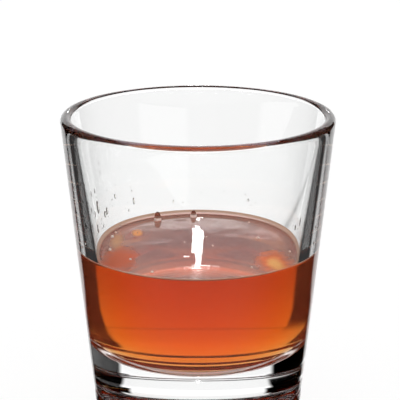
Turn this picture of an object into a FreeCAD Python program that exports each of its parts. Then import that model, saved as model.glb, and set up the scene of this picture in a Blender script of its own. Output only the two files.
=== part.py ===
import FreeCAD, Part
import math
import os

# A sazerac served in a heavy-based old-fashioned glass. All lengths in mm.
# The glass stands on Z = 0 with its axis on Z. Both solids are turned on that axis.

# outside of the glass
rimDiameter = 86.0        # widest point, just under the lip
glassHeight = 97.4
lipThickness = 3.5        # wall across the fully rounded lip
bodyFootDiameter = 67.7   # tapered wall, down at the rounding above the groove
kneeRound = 0.8           # rounding where the tapered wall turns in to the groove

# the foot, cut off from the body by a narrow turned groove
footHeight = 7.6          # from the table to the middle of the groove
footSetBack = 0.3         # how far the side of the foot stands in from the tapered wall
grooveWidth = 0.5
grooveDepth = 0.45        # measured in from the side of the foot
footShoulder = 0.5        # small rounding on top of the foot
heelRound = 4.8           # rounding under the foot
ringWidth = 3.2           # flat ring that the glass stands on
hollowDepth = 1.5         # dished hollow inside that ring

# inside of the glass
baseThickness = 17.4      # from the table to the lowest point of the inner floor
wallAtFloor = 4.05        # glass left at the side, beside the floor rounding
floorRound = 12.0         # rounding between wall and floor
floorDish = 70.0          # radius of the gently dished floor

# the drink
drinkDepth = 36.6         # from the inner floor to the level surface
meniscusRise = 1.0        # how far the surface climbs at the wall
meniscusReach = 2.4       # how far in from the wall the climb starts


def at(radius, height):
    return FreeCAD.Vector(radius, 0, height)


def polar(centre, length, angle):
    return centre + at(length * math.cos(angle), length * math.sin(angle))


def line(start, end):
    return Part.LineSegment(start, end).toShape()


def arc(centre, start, end):
    """The shorter arc from start to end about a centre."""
    middle = (start - centre) + (end - centre)
    middle.normalize()
    middle = centre + middle * (start - centre).Length
    return Part.Arc(start, middle, end).toShape()


def tangent(upper, upperRound, lower, lowerRound, side):
    """Ends of the straight line that touches two circles.

    A round is negative when the line passes its circle on the far side.
    side is 1 for a line outside the two centres and -1 for one nearer the axis.
    """
    walk = lower - upper
    angle = math.atan2(walk.z, walk.x)
    swing = math.acos((upperRound - lowerRound) / walk.Length)
    normal = angle + side * swing
    return polar(upper, upperRound, normal), polar(lower, lowerRound, normal)


def turned(edges):
    face = Part.Face(Part.Wire(edges))
    solid = face.revolve(at(0, 0), at(0, 1), 360)
    if solid.Volume < 0:
        solid.reverse()
    return solid


def lip_centre():
    return at((rimDiameter - lipThickness) / 2, glassHeight - lipThickness / 2)


def floor_edges():
    """Dished floor from the axis out, then the rounding, and the end and centre of it."""
    corner = at(bodyFootDiameter / 2 - wallAtFloor - floorRound, 0)
    dishCentre = at(0, baseThickness + floorDish)
    fall = math.sqrt((floorDish - floorRound) ** 2 - corner.x ** 2)
    corner.z = dishCentre.z - fall
    outward = corner - dishCentre
    outward.normalize()
    meet = dishCentre + outward * floorDish
    lipEnd, wallEnd = tangent(lip_centre(), lipThickness / 2, corner, -floorRound, -1)
    dish = arc(dishCentre, at(0, baseThickness), meet)
    rounding = arc(corner, meet, wallEnd)
    return [dish, rounding], wallEnd, lipEnd


def foot_edges():
    """Underside, heel, foot and groove, from the axis out and up to the knee."""
    footRadius = bodyFootDiameter / 2 - footSetBack
    ringOuter = footRadius - heelRound
    ringInner = ringOuter - ringWidth
    hollowRadius = (ringInner ** 2 + hollowDepth ** 2) / (2 * hollowDepth)
    hollowCentre = at(0, hollowDepth - hollowRadius)
    hollow = arc(hollowCentre, at(0, hollowDepth), at(ringInner, 0))
    ring = line(at(ringInner, 0), at(ringOuter, 0))
    heel = arc(at(ringOuter, heelRound), at(ringOuter, 0), at(footRadius, heelRound))

    grooveLow = footHeight - grooveWidth / 2
    grooveHigh = footHeight + grooveWidth / 2
    shoulder = at(footRadius - footShoulder, grooveLow - footShoulder)
    side = line(at(footRadius, heelRound), at(footRadius, shoulder.z))
    top = arc(shoulder, at(footRadius, shoulder.z), at(shoulder.x, grooveLow))
    grooveRadius = footRadius - grooveDepth + grooveWidth / 2
    inward = line(at(shoulder.x, grooveLow), at(grooveRadius, grooveLow))
    grooveCentre = at(grooveRadius, footHeight)
    grooveEdge = at(grooveRadius - grooveWidth / 2, footHeight)
    grooveIn = arc(grooveCentre, at(grooveRadius, grooveLow), grooveEdge)
    grooveOut = arc(grooveCentre, grooveEdge, at(grooveRadius, grooveHigh))
    knee = at(bodyFootDiameter / 2 - kneeRound, grooveHigh + kneeRound)
    outward = line(at(grooveRadius, grooveHigh), at(knee.x, grooveHigh))
    return [hollow, ring, heel, side, top, inward, grooveIn, grooveOut, outward], knee


def make_glass():
    lip = lip_centre()
    footEdges, knee = foot_edges()
    floorEdges, wallEnd, lipInner = floor_edges()
    lipOuter, kneeEnd = tangent(lip, lipThickness / 2, knee, kneeRound, 1)
    edges = footEdges
    edges.append(arc(knee, at(knee.x, knee.z - kneeRound), kneeEnd))
    edges.append(line(kneeEnd, lipOuter))
    edges.append(arc(lip, lipOuter, at(rimDiameter / 2, lip.z)))
    edges.append(arc(lip, at(rimDiameter / 2, lip.z), at(lip.x, glassHeight)))
    edges.append(arc(lip, at(lip.x, glassHeight), lipInner))
    edges.append(line(lipInner, wallEnd))
    edges.extend(reversed(floorEdges))
    edges.append(line(at(0, baseThickness), at(0, hollowDepth)))
    return turned(edges)


def make_drink():
    """Fills the glass to its level and climbs a little at the wall."""
    floorEdges, wallEnd, lipInner = floor_edges()
    level = baseThickness + drinkDepth
    contact = level + meniscusRise
    share = (contact - wallEnd.z) / (lipInner.z - wallEnd.z)
    wallTop = wallEnd + (lipInner - wallEnd) * share
    curve = (meniscusReach ** 2 + meniscusRise ** 2) / (2 * meniscusRise)
    flatEdge = at(wallTop.x - meniscusReach, level)
    edges = floorEdges
    edges.append(line(wallEnd, wallTop))
    edges.append(arc(at(flatEdge.x, level + curve), wallTop, flatEdge))
    edges.append(line(flatEdge, at(0, level)))
    edges.append(line(at(0, level), at(0, baseThickness)))
    return turned(edges)


nodes = {
    "glass": make_glass(),
    "drink": make_drink(),
}

os.makedirs("parts", exist_ok=True)
for name, shape in nodes.items():
    shape.exportStep("parts/" + name + ".step")
    print(name, round(shape.Volume / 1000, 1), "ml", shape.isValid())
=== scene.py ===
import math
import bpy
import numpy as np
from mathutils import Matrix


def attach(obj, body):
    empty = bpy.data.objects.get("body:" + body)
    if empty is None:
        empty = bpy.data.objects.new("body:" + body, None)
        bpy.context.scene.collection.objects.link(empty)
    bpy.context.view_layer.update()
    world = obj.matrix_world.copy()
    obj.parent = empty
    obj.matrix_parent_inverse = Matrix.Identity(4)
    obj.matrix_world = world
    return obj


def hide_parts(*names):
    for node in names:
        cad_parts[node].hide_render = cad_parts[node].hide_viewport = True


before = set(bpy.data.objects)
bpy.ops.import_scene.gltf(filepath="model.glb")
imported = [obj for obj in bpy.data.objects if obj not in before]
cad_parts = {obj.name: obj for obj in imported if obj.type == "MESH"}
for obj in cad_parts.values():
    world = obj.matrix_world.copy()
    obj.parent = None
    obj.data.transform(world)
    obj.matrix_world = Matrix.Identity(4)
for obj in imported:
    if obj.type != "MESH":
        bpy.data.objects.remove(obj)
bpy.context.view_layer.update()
mm = 0.001


# one socket of a shader: sums on sockets read as plain sums and add their own Math nodes
class Sock:
    def __init__(self, shader, out):
        self.shader, self.out = shader, out

    def math(self, operation, *others):
        return self.shader.math(operation, self, *others)

    def __add__(self, other):
        return self.shader.math("ADD", self, other)

    def __radd__(self, other):
        return self.shader.math("ADD", other, self)

    def __sub__(self, other):
        return self.shader.math("SUBTRACT", self, other)

    def __rsub__(self, other):
        return self.shader.math("SUBTRACT", other, self)

    def __mul__(self, other):
        return self.shader.math("MULTIPLY", self, other)

    def __rmul__(self, other):
        return self.shader.math("MULTIPLY", other, self)

    def __truediv__(self, other):
        return self.shader.math("DIVIDE", self, other)

    def __rtruediv__(self, other):
        return self.shader.math("DIVIDE", other, self)

    def __pow__(self, other):
        return self.shader.math("POWER", self, other)

    def __rpow__(self, other):
        return self.shader.math("POWER", other, self)

    # 1 while a count is no more than most, else 0
    def upTo(self, most):
        return self.math("LESS_THAN", most + 0.5)

    # 0 below low and 1 above high, eased between: t * t * (3 - 2 * t), with t the share of the way
    def ramp(self, low, high):
        eased = {"interpolation_type": "SMOOTHSTEP"}
        return self.shader.node("MapRange", settings=eased, Value=self, From_Min=low, From_Max=high)


class Shader:
    def __init__(self, tree):
        self.tree = tree
        tree.nodes.clear()

    # any node: its type and settings, then values or links of its sockets, by name or by place (_0, _1)
    def node(self, kind, output=0, settings=None, **sockets):
        made = self.tree.nodes.new("ShaderNode" + kind)
        for key, value in (settings or {}).items():
            setattr(made, key, value)
        for key, value in sockets.items():
            slot = made.inputs[int(key[1:]) if key[0] == "_" else key.replace("_", " ")]
            if isinstance(value, Sock):
                self.tree.links.new(value.out, slot)
            else:
                slot.default_value = value
        if isinstance(output, tuple):
            return [Sock(self, made.outputs[place]) for place in output]
        return Sock(self, made.outputs[output]) if len(made.outputs) else None

    def math(self, operation, *values):
        sockets = {f"_{place}": value for place, value in enumerate(values)}
        return self.node("Math", settings={"operation": operation}, **sockets)

    # first where the factor is 0, second where it is 1
    def mix(self, factor, first, second):
        return self.node("MixShader", _0=factor, _1=first, _2=second)

    # clouds of noise on the piece
    def noise(self, scale, detail):
        return self.node("TexNoise", Vector=self.node("TexCoord", "Object"), Scale=scale, Detail=detail)

    # the x, y and z of a vector
    def axes(self, vector):
        return self.node("SeparateXYZ", output=(0, 1, 2), Vector=vector)

    # the place on the piece, in metres
    def place(self):
        return self.axes(self.node("TexCoord", "Object"))

    def diffuse(self, colour):
        return self.node("BsdfDiffuse", Color=(*colour, 1))

    def glossy(self, **sockets):
        return self.node("BsdfGlossy", Color=(1, 1, 1, 1), **sockets)

    def refraction(self, colour, roughness, ior):
        return self.node("BsdfRefraction", Color=(*colour, 1), Roughness=roughness, IOR=ior)

    # clear stuff that bends light and throws some back
    def clear(self, colour, ior):
        surface = {"Base_Color": (*colour, 1), "Roughness": 0.0, "IOR": ior, "Transmission_Weight": 1.0}
        return self.node("BsdfPrincipled", **surface)


def material(name):
    made = bpy.data.materials.new(name)
    made.use_nodes = True
    return made, Shader(made.node_tree)


# an arc in the plane of radius and height: centre + radius * (cos a, sin a), with a in degrees
def bend(centre, radius, first, last, count):
    angle = np.radians(np.linspace(first, last, count))
    return np.stack([centre[0] + radius * np.cos(angle), centre[1] + radius * np.sin(angle)], 1)


# the one point of such an arc at an angle
def spot(centre, radius, angle):
    return bend(centre, radius, angle, angle, 1)[0]


# the normal, in degrees, of the straight line that touches two circles: the way from centre to centre,
# swung by arccos((upperRadius - lowerRadius) / distance); a radius below 0 is touched on the far side
def touch(upper, upperRadius, lower, lowerRadius, side):
    walk = np.subtract(lower, upper)
    swing = math.acos((upperRadius - lowerRadius) / math.hypot(*walk))
    return math.degrees(math.atan2(walk[1], walk[0]) + side * swing)


# a straight run: first * (1 - t) + last * t, with t evenly between 0 and 1 and both ends left out
def run(first, last, count):
    share = np.linspace(0, 1, count + 2)[1:-1, None]
    return np.asarray(first) * (1 - share) + np.asarray(last) * share


# a piece from its points in metres and arrays of faces
def meshPiece(name, verts, faceSets):
    mesh = bpy.data.meshes.new(name)
    loops = np.concatenate([faces.ravel() for faces in faceSets]).astype(np.int32)
    sizes = np.concatenate([np.full(len(faces), faces.shape[1]) for faces in faceSets]).astype(np.int32)
    mesh.vertices.add(len(verts))
    mesh.vertices.foreach_set("co", verts.astype(np.float32).ravel())
    mesh.loops.add(len(loops))
    mesh.loops.foreach_set("vertex_index", loops)
    mesh.polygons.add(len(sizes))
    mesh.polygons.foreach_set("loop_start", np.concatenate([[0], np.cumsum(sizes)[:-1]]).astype(np.int32))
    mesh.polygons.foreach_set("loop_total", sizes)
    mesh.polygons.foreach_set("use_smooth", np.ones(len(sizes), bool))
    mesh.update(calc_edges=True)
    mesh.validate()
    piece = bpy.data.objects.new(name, mesh)
    bpy.context.collection.objects.link(piece)
    return piece


# faces of rings of points: point j of ring i is number i * around + j, and each ring is joined to the
# next; the two points after them are poles, with fans to the first ring and to the last
def ringFaces(rings, around):
    i, j = np.meshgrid(np.arange(rings - 1), np.arange(around), indexing="ij")
    k = (j + 1) % around
    corners = [i * around + j, i * around + k, (i + 1) * around + k, (i + 1) * around + j]
    quads = np.stack(corners, -1).reshape(-1, 4)
    step = np.arange(around)
    after = (step + 1) % around
    last = (rings - 1) * around
    first = np.stack([np.full(around, rings * around), after, step], -1)
    closing = np.stack([np.full(around, rings * around + 1), last + step, last + after], -1)
    return [quads, first, closing]


# a profile (radius r, height h) turned about Z: x = r cos a, y = r sin a, z = h, with a point at each pole
def turned(name, profile, around):
    angle = np.linspace(0, 2 * np.pi, around, endpoint=False)
    rings = profile[1:-1] * mm
    x = rings[:, :1] * np.cos(angle)
    y = rings[:, :1] * np.sin(angle)
    z = np.repeat(rings[:, 1:], around, axis=1)
    poles = np.array([[0, 0, profile[0, 1] * mm], [0, 0, profile[-1, 1] * mm]])
    verts = np.vstack([np.stack([x, y, z], -1).reshape(-1, 3), poles])
    return meshPiece(name, verts, ringFaces(len(rings), around))


# the glass, in mm
tumbler = {
    "rim": 86.0, "height": 97.4, "lip": 3.5,
    "bodyFoot": 67.7, "knee": 0.8,                      # where the tapered wall turns in to the groove
    "footHeight": 7.6, "foot": 67.1, "groove": 0.5, "grooveDepth": 0.45, "shoulder": 0.5,
    "heel": 4.8, "ring": 3.2, "hollow": 1.5,            # under the foot
    "base": 17.4, "floor": 59.6, "corner": 12.0, "dish": 70.0,
    "around": 256,
    "ior": 1.5, "tint": (0.997, 1.0, 0.998),
}


# the hollow: circles of the inner corner and of the lip, the straight wall that touches both, and the dish
def cavity(cup):
    cornerX = cup["floor"] / 2 - cup["corner"]
    dishZ = cup["base"] + cup["dish"]
    corner = np.array([cornerX, dishZ - math.sqrt((cup["dish"] - cup["corner"]) ** 2 - cornerX ** 2)])
    lip = np.array([(cup["rim"] - cup["lip"]) / 2, cup["height"] - cup["lip"] / 2])
    wall = touch(lip, cup["lip"] / 2, corner, -cup["corner"], -1)
    return {
        "corner": corner, "lip": lip, "wall": wall, "dishZ": dishZ,
        "floorAngle": math.degrees(math.atan2(corner[1] - dishZ, corner[0])),
        "wallLow": spot(corner, -cup["corner"], wall), "wallHigh": spot(lip, cup["lip"] / 2, wall),
    }


# the glass's outline from the hollow under the foot, out and up over the lip, and down inside to the dish:
# arcs at the hollow, heel, shoulder, groove, knee, lip, corner and dish, with straight runs between
def glassProfile(cup, inner):
    footR = cup["foot"] / 2
    ringOut = footR - cup["heel"]
    ringIn = ringOut - cup["ring"]
    hollowR = (ringIn ** 2 + cup["hollow"] ** 2) / (2 * cup["hollow"])
    reach = math.degrees(math.asin(ringIn / hollowR))
    low = cup["footHeight"] - cup["groove"] / 2
    high = cup["footHeight"] + cup["groove"] / 2
    grooveX = footR - cup["grooveDepth"] + cup["groove"] / 2
    knee = np.array([cup["bodyFoot"] / 2 - cup["knee"], high + cup["knee"]])
    lip, wall = inner["lip"], inner["wall"]
    taper = touch(lip, cup["lip"] / 2, knee, cup["knee"], 1)
    parts = [
        bend((0, cup["hollow"] - hollowR), hollowR, 90, 90 - reach, 24),
        run((ringIn, 0), (ringOut, 0), 2),
        bend((ringOut, cup["heel"]), cup["heel"], -90, 0, 14),
        bend((footR - cup["shoulder"], low - cup["shoulder"]), cup["shoulder"], 0, 90, 8),
        bend((grooveX, cup["footHeight"]), -cup["groove"] / 2, 90, -90, 10),
        bend(knee, cup["knee"], -90, taper, 10),
        run(spot(knee, cup["knee"], taper), spot(lip, cup["lip"] / 2, taper), 36),
        bend(lip, cup["lip"] / 2, taper, wall % 360, 28),
        run(inner["wallHigh"], inner["wallLow"], 36),
        bend(inner["corner"], cup["corner"], wall % 360 - 180, inner["floorAngle"], 20),
        bend((0, inner["dishZ"]), cup["dish"], inner["floorAngle"], -90, 16)[1:],
    ]
    return np.vstack(parts)


# the drink: sizes in mm, then how it looks; what it takes in is a colour and a density
sazerac = {
    "level": 53.6, "climb": 1.4, "reach": 2.4,          # the surface climbs the wall over this reach
    "topFrom": (-0.5, -0.3), "topLies": (0.35, 0.5),    # what counts as the surface: how high and how level
    "intoWall": 0.12, "around": 256, "ior": 1.35,
    "absorb": (0.983, 0.618, 0.045), "density": 110.0,
    "cloud": (1.0, 0.24, 0.1), "haze": 0.19, "hazeInWall": 0.02,
    # painted shade: the sides are painted darker towards the top, from the first height to the second
    "paintedShadeTint": (0.76, 0.62, 0.7), "paleBelow": 27.0, "paintedShadeAbove": 50.0,
    "surfaceCloud": (0.95, 0.2, 0.12), "surfaceHaze": 0.24, "surfaceSoft": 0.12,
    # painted light: the surface is painted paler in a ring towards the wall and in a band where it climbs
    # the wall
    "paintedLightTint": (0.9, 0.68, 0.52), "paintedLightEdge": 0.6, "edgeFrom": 1.8, "edgeTo": 0.6,
    "paintedLightRing": 0.14, "ringFrom": 12.0, "ringTo": 28.0,
    "wetFrom": 14.0, "wetDeep": 1.2, "wetFade": 0.4,    # the glass is wetted above this height, this deep
    # painted light: orange glows painted on the surface where light gathers in the drink: the middle, half
    # sizes, full core, how much, and the colour
    "glows": [
        {"at": (23.0, -14.5), "half": (7.0, 14.0), "core": 0.25, "much": 0.85, "tint": (0.95, 0.24, 0.09)},
        {"at": (23.3, -16.0), "half": (3.2, 8.0), "core": 0.2, "much": 0.95, "tint": (1.0, 0.52, 0.2)},
        {"at": (-24.0, -12.0), "half": (7.5, 16.0), "core": 0.3, "much": 0.7, "tint": (0.72, 0.14, 0.05)},
        {"at": (-20.5, 13.0), "half": (2.6, 5.0), "core": 0.2, "much": 0.8, "tint": (1.0, 0.42, 0.14)},
        {"at": (-27.0, 5.0), "half": (3.4, 12.0), "core": 0.0, "much": 0.45, "tint": (0.78, 0.46, 0.2)},
    ],
    "uneven": 0.7, "unevenScale": 300.0,
    # rings about a point outside the wall, out to a distance, and a slow swell
    "ripple": {"x": -2.0, "y": -40.0, "length": 2.1, "near": 12.0, "far": 24.0, "height": 0.02},
    "swell": 0.05, "swellScale": 90.0,
}


# the drink's outline from the middle of the floor, out along dish, corner and wall a hair deeper than the
# glass's own, and back over the meniscus, an arc of radius (reach^2 + climb^2) / (2 climb), to the axis
def drinkProfile(cup, liquid, inner):
    into = liquid["intoWall"]
    wall, floorAngle = inner["wall"], inner["floorAngle"]
    wallLow, wallHigh = inner["wallLow"], inner["wallHigh"]
    share = (liquid["level"] + liquid["climb"] - wallLow[1]) / (wallHigh[1] - wallLow[1])
    contact = wallLow + (wallHigh - wallLow) * share
    outward = -np.array([math.cos(math.radians(wall)), math.sin(math.radians(wall))]) * into
    curve = (liquid["reach"] ** 2 + liquid["climb"] ** 2) / (2 * liquid["climb"])
    sweep = math.degrees(math.asin(liquid["reach"] / curve))
    meniscus = bend((contact[0] - liquid["reach"], liquid["level"] + curve), curve, -90 + sweep, -90, 12)
    parts = [
        bend((0, inner["dishZ"]), cup["dish"] + into, -90, floorAngle, 16),
        bend(inner["corner"], cup["corner"] + into, floorAngle, wall % 360 - 180, 20)[1:],
        run(wallLow + outward, contact + outward, 20),
        (contact + outward)[None],
        meniscus,
        run(meniscus[-1], (0, liquid["level"]), 12),
        np.array([[0, liquid["level"]]]),
    ]
    return np.vstack(parts)


inner = cavity(tumbler)
glass = turned("glassTumbler", glassProfile(tumbler, inner), tumbler["around"])
drinkShape = drinkProfile(tumbler, sazerac, inner)
drink = turned("sazeracDrink", drinkShape, sazerac["around"])
levelZ = sazerac["level"] * mm
print("glass and drink made")


# where glass and drink meet: light bends, and only a glancing ray is thrown back
def joined(shader, ior, through):
    glancing = shader.node("Fresnel", IOR=ior).ramp(0.9, 1.0)
    return shader.mix(glancing, through, shader.glossy(Roughness=0.0))


# clear glass, wetted on the inner wall and floor up to where the drink climbs: depth is how far a point
# lies outside the inner wall's cone, radius - slope * height - the cone's radius at height 0
def clearGlass(cup, liquid, inner):
    made, shader = material("clearGlass")
    x, y, z = shader.place()
    low, high = inner["wallLow"] * mm, inner["wallHigh"] * mm
    slope = (high[0] - low[0]) / (high[1] - low[1])
    depth = (x * x + y * y).math("SQRT") - (z * slope) - (low[0] - low[1] * slope)
    insideWall = 1.0 - depth.ramp((liquid["wetDeep"] - liquid["wetFade"]) * mm, liquid["wetDeep"] * mm)
    contact = levelZ + liquid["climb"] * mm
    wetted = insideWall * (1.0 - (z - contact).ramp(-0.2 * mm, 0))
    wetted = wetted * (z - liquid["wetFrom"] * mm).ramp(0, 0.5 * mm)
    wet = joined(shader, cup["ior"], shader.refraction((1, 1, 1), 0.0, cup["ior"]))
    shader.node("OutputMaterial", Surface=shader.mix(wetted, shader.clear(cup["tint"], cup["ior"]), wet))
    return made


# faint waves: rings about a point, sin(2 pi distance / length) dying away, plus a slow swell
def waves(shader, liquid, x, y):
    ripple = liquid["ripple"]
    away = ((x - ripple["x"] * mm) ** 2 + (y - ripple["y"] * mm) ** 2).math("SQRT")
    rings = (away * (2 * math.pi / (ripple["length"] * mm))).math("SINE")
    rings = rings * (1.0 - away.ramp(ripple["near"] * mm, ripple["far"] * mm))
    height = rings * ripple["height"] + shader.noise(liquid["swellScale"], 1.0) * liquid["swell"]
    return shader.node("Bump", Height=height, Strength=1.0, Distance=mm)


# the open surface: it shines and is a little cloudy, and painted light makes it paler outwards and where it
# climbs the wall;
# painted glows lie inside ellipses, sqrt((x / half x)^2 + (y / half y)^2) below 1, made uneven by noise
def openSurface(shader, liquid, x, y):
    clear = shader.refraction((1, 1, 1), liquid["surfaceSoft"], liquid["ior"])
    cloudy = shader.mix(liquid["surfaceHaze"], clear, shader.diffuse(liquid["surfaceCloud"]))
    shine = shader.glossy(Roughness=0.0, Normal=waves(shader, liquid, x, y))
    bare = shader.mix(shader.node("Fresnel", IOR=liquid["ior"]), cloudy, shine)
    radius = (x * x + y * y).math("SQRT")
    wallR = drinkShape[:, 0].max()
    edgeFrom, edgeTo = wallR - liquid["edgeFrom"], wallR - liquid["edgeTo"]
    # painted light: a pale diffuse mixed in, in a ring outwards and in a band at the wall
    ring = radius.ramp(liquid["ringFrom"] * mm, liquid["ringTo"] * mm) * liquid["paintedLightRing"]
    edge = radius.ramp(edgeFrom * mm, edgeTo * mm) * liquid["paintedLightEdge"]
    bare = shader.mix(ring.math("MAXIMUM", edge), bare, shader.diffuse(liquid["paintedLightTint"]))
    uneven = (shader.noise(liquid["unevenScale"], 2.0) - 0.5) * liquid["uneven"]
    for glow in liquid["glows"]:
        alongX = (x - glow["at"][0] * mm) / (glow["half"][0] * mm)
        alongY = (y - glow["at"][1] * mm) / (glow["half"][1] * mm)
        away = (alongX ** 2 + alongY ** 2).math("SQRT") + uneven
        # painted light: how strongly each painted glow shows, fading out to the ellipse's edge
        paintedGlow = (1.0 - away.ramp(glow["core"], 1.0)) * glow["much"]
        bare = shader.mix(paintedGlow, bare, shader.diffuse(glow["tint"]))
    return bare


# the drink: an amber body that darkens with depth, sides against the glass that carry painted shade towards
# the top, and the open surface on top
def amberDrink(liquid):
    made, shader = material("amberDrink")
    x, y, z = shader.place()
    lies = shader.axes(shader.node("NewGeometry", "Normal"))[2].math("ABSOLUTE")
    low, high = liquid["topFrom"]
    top = (z - levelZ).ramp(low * mm, high * mm) * lies.ramp(*liquid["topLies"])
    pale = shader.refraction((1, 1, 1), 0.0, liquid["ior"])
    # painted shade: a darker refraction mixed into the sides towards the top
    paintedShade = shader.refraction(liquid["paintedShadeTint"], 0.0, liquid["ior"])
    sides = shader.mix(z.ramp(liquid["paleBelow"] * mm, liquid["paintedShadeAbove"] * mm), pale, paintedShade)
    straight = shader.node("LightPath", "Glossy Depth").upTo(0)
    haze = (straight * liquid["haze"]).math("MAXIMUM", liquid["hazeInWall"])
    sides = joined(shader, liquid["ior"], shader.mix(haze, sides, shader.diffuse(liquid["cloud"])))
    body = shader.node("VolumeAbsorption", Color=(*liquid["absorb"], 1), Density=liquid["density"])
    surface = shader.mix(top, sides, openSurface(shader, liquid, x, y))
    shader.node("OutputMaterial", Surface=surface, Volume=body)
    return made


glass.data.materials.append(clearGlass(tumbler, sazerac, inner))
drink.data.materials.append(amberDrink(sazerac))
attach(glass, "root")
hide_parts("glass")
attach(drink, "root")
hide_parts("drink")
print("glass and drink finished")


# a unit dome: sin a across and cos a high, a from the pole to the edge, then a flat back at -under
def dome(rings, around, under):
    sweep = np.linspace(0, np.pi / 2, rings + 1)[1:]
    across = np.append(np.sin(sweep), 1.0)
    rise = np.append(np.cos(sweep), -under)
    angle = np.linspace(0, 2 * np.pi, around, endpoint=False)
    x, y = np.outer(across, np.cos(angle)), np.outer(across, np.sin(angle))
    z = np.repeat(rise[:, None], around, 1)
    verts = np.vstack([np.stack([x, y, z], -1).reshape(-1, 3), [[0, 0, 1.0], [0, 0, -under]]])
    return verts, [np.roll(faces[:, ::-1], 1, axis=1) for faces in ringFaces(len(across), around)]


# copies of a unit dome, all at once: centre + x * across + y * along + z * out
def scatter(name, shape, centre, across, along, out):
    verts, faceSets = shape
    points = centre[:, None] + verts[None, :, :1] * across[:, None]
    points = points + verts[None, :, 1:2] * along[:, None] + verts[None, :, 2:] * out[:, None]
    offset = np.arange(len(centre))[:, None, None] * len(verts)
    copies = [(faces[None] + offset).reshape(-1, faces.shape[1]) for faces in faceSets]
    return meshPiece(name, points.reshape(-1, 3) * mm, copies)


# level directions at angles turned from +Y towards -X: (-sin a, cos a, 0)
def towards(degrees):
    angle = np.radians(degrees)
    return np.stack([-np.sin(angle), np.cos(angle), 0 * angle], 1)


# droplets that cling to the inner wall, in mm and degrees
droplets = {
    "seed": 7, "around": 14, "rings": 6, "under": 0.2, "proud": 0.17,
    # turn from and to, height from and to, how many, smallest and largest across
    "fields": [
        (66, 112, 56.5, 74, 34, 0.35, 1.4), (26, 64, 57.5, 68, 9, 0.25, 0.6),
        (-40, 20, 57.5, 62, 9, 0.25, 0.6), (-112, -70, 56.5, 72, 18, 0.3, 1.1),
        (118, 242, 56.5, 70, 10, 0.25, 0.7), (60, 110, 76, 88, 5, 0.4, 1.0),
    ],
    "longest": 1.9, "lowMore": 1.6, "smallMore": 3,     # how tall a drop may be; how low and small most are
    # the larger ones: turn, height, across, tall
    "large": [
        (79, 64.0, 2.2, 4.4), (86, 58.2, 1.6, 3.0), (70, 60.0, 1.3, 2.2), (-88, 61.0, 1.4, 2.8),
        (-80, 57.4, 1.2, 1.8), (56, 63.7, 0.8, 1.7), (41, 60.2, 0.9, 2.3), (-31, 59.5, 0.9, 1.0),
    ],
    "tint": (1, 0.985, 0.96), "ior": 1.34,
}


# random drops in one field: evenly round, more of them low down and small, each up to longest times as tall
def strewn(draw, beads, field):
    fromTurn, toTurn, low, high, count, small, large = field
    turn = draw.uniform(fromTurn, toTurn, count)
    height = low + (high - low) * draw.uniform(0, 1, count) ** beads["lowMore"]
    across = small + (large - small) * draw.uniform(0, 1, count) ** beads["smallMore"]
    tall = draw.uniform(1.0, beads["longest"], count) * across
    return np.stack([turn, height, across, tall], 1)


# domes flat on the inner wall, a cone: radius = low + (height - lowest) * slope
def wallDroplets(beads, inner):
    draw = np.random.default_rng(beads["seed"])
    small = [strewn(draw, beads, field) for field in beads["fields"]]
    drops = np.vstack([*small, beads["large"]])
    turn, height, across, tall = drops[:, 0], drops[:, 1:2], drops[:, 2:3], drops[:, 3:4]
    low, high = inner["wallLow"], inner["wallHigh"]
    lean = (high - low) / np.hypot(*(high - low))
    outwards, sideways, up = towards(turn), towards(turn - 90), np.array([0, 0, 1.0])
    centre = outwards * (low[0] + (height - low[1]) * lean[0] / lean[1]) + height * up
    along = outwards * lean[0] + up * lean[1]
    out = up * lean[0] - outwards * lean[1]
    sizes = (sideways * across / 2, along * tall / 2, out * across * beads["proud"])
    return scatter("wallDroplets", dome(beads["rings"], beads["around"], beads["under"]), centre, *sizes)


# bubbles afloat, in mm and degrees
bubbles = {
    # turn, distance from the axis, across, height over half the width
    "afloat": [
        (28, 30.0, 2.6, 2.2), (3, 30.2, 2.3, 1.9), (-84, 4.8, 0.6, 1.1), (-68, 21.6, 0.9, 1.1),
        (-17, 9.5, 0.5, 1.1), (-37, 29.5, 0.6, 1.1), (48, 6.0, 0.5, 1.1), (120, 24.0, 0.8, 1.1),
        (150, 27.0, 0.9, 1.1), (97, 28.5, 1.0, 1.1), (74, 30.2, 1.2, 1.1), (66, 31.0, 0.8, 1.1),
        (-140, 25.0, 0.6, 1.1), (-100, 29.8, 0.8, 1.1), (178, 30.0, 0.7, 1.1),
    ],
    "around": 20, "rings": 8, "under": 0.25,
    # painted highlight: the pale foot's colour, and the heights over which it gives way to the cap
    "cap": (0.62, 0.34, 0.26), "ior": 1.3, "foot": (0.95, 0.84, 0.78), "paintedHighlightFrom": 0.75, "paintedHighlightTo": 1.05,
}


# upright domes on the drink: centre = distance * direction, at the level
def surfaceBubbles(foam):
    afloat = np.array(foam["afloat"])
    centre = towards(afloat[:, 0]) * afloat[:, 1:2] + np.array([0, 0, sazerac["level"]])
    half = afloat[:, 2:3] / 2
    shape = dome(foam["rings"], foam["around"], foam["under"])
    x, y, z = np.eye(3)
    return scatter("surfaceBubbles", shape, centre, half * x, half * y, half * afloat[:, 3:4] * z)


def clearDroplets(beads):
    made, shader = material("clearDroplets")
    shader.node("OutputMaterial", Surface=shader.clear(beads["tint"], beads["ior"]))
    return made


# amber above, and a pale foot where a bubble meets the drink: a painted highlight
def amberBubbles(foam):
    made, shader = material("amberBubbles")
    risen = (shader.place()[2] - levelZ).ramp(foam["paintedHighlightFrom"] * mm, foam["paintedHighlightTo"] * mm)
    cap = shader.clear(foam["cap"], foam["ior"])
    shader.node("OutputMaterial", Surface=shader.mix(risen, shader.diffuse(foam["foot"]), cap))
    return made


drops = wallDroplets(droplets, inner)
drops.data.materials.append(clearDroplets(droplets))
froth = surfaceBubbles(bubbles)
froth.data.materials.append(amberBubbles(bubbles))
for piece in (drops, froth):
    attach(piece, "root")
print("droplets in", len(droplets["fields"]), "fields and", len(bubbles["afloat"]), "bubbles made")

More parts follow.
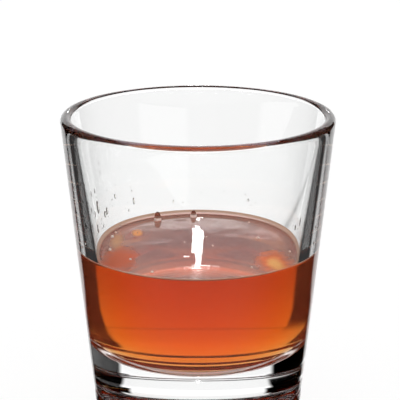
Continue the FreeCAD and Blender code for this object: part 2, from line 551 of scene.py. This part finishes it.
# the studio: white panels stand round the glass with dark gaps between. In degrees, each has the turn of
# its middle from +Y towards -X, half its width, how high its foot and head are seen, and how soft its sides
# (edge) and foot (fade) are. Those with mirrored or crossed show only to rays thrown back, or passed
# through a surface, no more often than that.
studio = {
    # in mm: the floor, just below the foot; all rays but the camera's meet a polished one, with a white
    # glow under the foot
    "floorSize": 3000.0, "floorDrop": 0.2, "floorWhite": 0.9, "polish": 0.03,
    "glow": 0.35, "glowReach": 36.0, "glowFade": 4.0,
    "panels": [
        {"turn": 0, "half": 27, "low": -90, "high": 8.5, "edge": 1.5},
        {"turn": -1.3, "half": 32, "low": 8.5, "high": 21.5, "edge": 1.8},
        {"turn": -1.3, "half": 24, "low": 21.5, "high": 42},
        {"turn": -1.3, "half": 32, "low": 21.5, "high": 42, "mirrored": 1},
        {"turn": 90, "half": 27, "low": -90, "high": 8.5, "mirrored": 1},
        {"turn": -145, "half": 24, "low": -90, "high": 8.5, "mirrored": 1},
        {"turn": -137, "half": 39, "low": 8.5, "high": 42, "mirrored": 1},
        {"turn": 44, "half": 40, "low": 19.5, "high": 42, "mirrored": 1, "crossed": 5},
        {"turn": 44, "half": 40, "low": 21.5, "high": 42, "mirrored": 1, "fade": 3.5},
    ],
    "white": 1.08, "straight": 0.08,                    # what is seen through one wall alone is less by this
    "veil": 0.3, "veilFrom": 30, "veilTo": 95,          # a soft front light for the first surface met
    # bands by height: where each sets in and ends, and how much it adds; the streak shows only after four
    # surfaces, in what the drink throws back
    "dim": {"from": (20.5, 23.0), "to": (27.0, 32.0), "much": 0.05},
    "streak": {"from": (16.15, 16.3), "to": (16.5, 17.3), "much": 1.5, "crossed": 4},
    "table": {"to": (12.0, 13.2), "much": 0.16},
    "high": {"from": (24.0, 32.0), "much": 0.12},
}


def studioFloor(room):
    half, low = room["floorSize"] / 2, -room["floorDrop"]
    corners = np.array([[-half, -half, low], [half, -half, low], [half, half, low], [-half, half, low]])
    floor = meshPiece("studioFloor", corners * mm, [np.array([[0, 1, 2, 3]])])
    made, shader = material("paleFloor")
    x, y = shader.place()[:2]
    reach, faded = room["glowReach"] * mm, (room["glowReach"] + room["glowFade"]) * mm
    near = 1.0 - (x * x + y * y).math("SQRT").ramp(reach, faded)
    white = shader.node("Emission", Color=(1, 1, 1, 1), Strength=1.0)
    polished = shader.mix(near * room["glow"], shader.glossy(Roughness=room["polish"]), white)
    plain = shader.mix(room["floorWhite"], shader.diffuse((1, 1, 1)), white)
    seen = shader.node("LightPath", "Is Camera Ray")
    shader.node("OutputMaterial", Surface=shader.mix(seen, polished, plain))
    floor.data.materials.append(made)
    return floor


# the world: white to the camera and to dull stuff, panels with dark gaps to rays through the glass
def studioWorld(room):
    world = bpy.data.worlds.new("studioWorld")
    world.use_nodes = True
    shader = Shader(world.node_tree)
    x, y, z = shader.axes(shader.node("TexCoord", "Generated"))
    turn = (x * -1.0).math("ARCTAN2", y) * math.degrees(1)
    height = z.math("ARCSINE") * math.degrees(1)
    seen = shader.node("LightPath", "Is Camera Ray")
    mirrored = shader.node("LightPath", "Glossy Depth")
    crossed = shader.node("LightPath", "Transmission Depth")
    scattered = shader.node("LightPath", "Diffuse Depth")

    # 1 where the height has set in and not yet ended
    def band(choice):
        within = height.ramp(*choice["from"]) if "from" in choice else 1.0
        return (1.0 - height.ramp(*choice["to"])) * within if "to" in choice else within

    # degrees between a ray's turn and another, either way round
    def apart(other):
        return (turn - other).math("WRAP", 180.0, -180.0).math("ABSOLUTE")

    def panel(choice):
        edge, fade = choice.get("edge", 4.0), choice.get("fade", 0.5)
        across = 1.0 - apart(choice["turn"]).ramp(choice["half"] - edge, choice["half"] + edge)
        foot = (choice["low"] - fade, choice["low"] + fade)
        return across * band({"from": foot, "to": (choice["high"] - 0.5, choice["high"] + 0.5)})

    allPanels = plainPanels = height * 0.0
    for choice in room["panels"]:
        shown = panel(choice)
        if "mirrored" in choice:
            shown = shown * mirrored.upTo(choice["mirrored"])
        else:
            plainPanels = plainPanels.math("MAXIMUM", shown)
        if "crossed" in choice:
            shown = shown * crossed.upTo(choice["crossed"])
        allPanels = allPanels.math("MAXIMUM", shown)
    dim = band(room["dim"]) * room["dim"]["much"]
    bright = room["white"] - crossed.upTo(2) * room["straight"]
    through = allPanels.math("MAXIMUM", dim) * bright
    veil = (1.0 - apart(180.0).ramp(room["veilFrom"], room["veilTo"])) * room["veil"]
    first = crossed.upTo(0)
    lit = through * (1.0 - first) + plainPanels.math("MAXIMUM", veil) * first
    lit = lit.math("MAXIMUM", scattered).math("MAXIMUM", seen).math("MINIMUM", room["white"])
    # brighter in the drink's own surface, in what the table throws back, and high up
    thrown = 1.0 - mirrored.upTo(0)
    atDrink = thrown * crossed.math("COMPARE", room["streak"]["crossed"], 0.4)
    streak = atDrink * band(room["streak"]) * room["streak"]["much"]
    table = thrown * band(room["table"]) * room["table"]["much"]
    lit = lit * (streak + table + band(room["high"]) * room["high"]["much"] + 1.0)
    lit = lit * (1.0 - seen) + seen    # plain white to the camera
    shader.node("OutputWorld", Surface=shader.node("Background", Color=(1, 1, 1, 1), Strength=lit))
    return world


studioFloor(studio)
bpy.context.scene.world = studioWorld(studio)
print("studio set")

# slim lamps hung behind in mm, high enough to shine back off the drink, with their power in watts
lamps = {
    "back": 1000.0,
    "hung": [
        {"name": "lowLamp", "wide": 9.0, "tall": 8.0, "height": 349.0, "off": -1.0, "power": 0.0045},
        {"name": "stripLamp", "wide": 21.0, "tall": 23.0, "height": 364.5, "off": -1.0, "power": 0.030},
        {"name": "upperLamp", "wide": 11.0, "tall": 20.0, "height": 386.0, "off": -1.0, "power": 0.012},
        {"name": "softLamp", "wide": 50.0, "tall": 16.0, "height": 395.0, "off": -2.0, "power": 0.020},
        {"name": "wideLamp", "wide": 85.0, "tall": 10.0, "height": 397.0, "off": -2.0, "power": 0.008},
    ],
}


# a lamp that faces the glass and shows only in what is thrown back, not in what comes through the drink
def hang(choice, back):
    lamp = bpy.data.lights.new(choice["name"], "AREA")
    lamp.shape, lamp.energy = "RECTANGLE", choice["power"]
    lamp.size, lamp.size_y = choice["wide"] * mm, choice["tall"] * mm
    hung = bpy.data.objects.new(choice["name"], lamp)
    bpy.context.collection.objects.link(hung)
    hung.location = (choice["off"] * mm, back * mm, choice["height"] * mm)
    hung.rotation_euler = (-math.pi / 2, 0, 0)
    hung.visible_camera = hung.visible_diffuse = False
    lamp.use_nodes = True
    shader = Shader(lamp.node_tree)
    thrown = 1.0 - shader.node("LightPath", "Glossy Depth").upTo(0)
    thrown = thrown * shader.node("LightPath", "Transmission Depth").upTo(4)
    shader.node("OutputLight", Surface=shader.node("Emission", Color=(1, 1, 1, 1), Strength=thrown))


for choice in lamps["hung"]:
    hang(choice, lamps["back"])

# light passes many walls of glass before it is done
bounces = {"max_bounces": 32, "transmission_bounces": 32, "glossy_bounces": 16}
for key, count in bounces.items():
    setattr(bpy.context.scene.cycles, key, count)

# the camera: mm from the middle of the rim, degrees above it, and the height in mm it aims at
look = {"distance": 550.0, "rise": 13.17, "aim": 69.31, "lens": 158.35, "sensor": 36.0, "shift": 0.005}
camera = bpy.data.cameras.new("camera")
cameraObject = bpy.data.objects.new("camera", camera)
bpy.context.collection.objects.link(cameraObject)
bpy.context.scene.camera = cameraObject
rise = math.radians(look["rise"])
back = look["distance"] * math.cos(rise)
up = tumbler["height"] + look["distance"] * math.sin(rise)
camera.sensor_width, camera.lens, camera.shift_x = look["sensor"], look["lens"], look["shift"]
camera.clip_start, camera.clip_end = 0.01, 10
cameraObject.location = (0, -back * mm, up * mm)
cameraObject.rotation_euler = (math.pi / 2 - math.atan2(up - look["aim"], back), 0, 0)
bpy.context.scene.view_settings.view_transform = "Standard"
print("lamps and camera set")
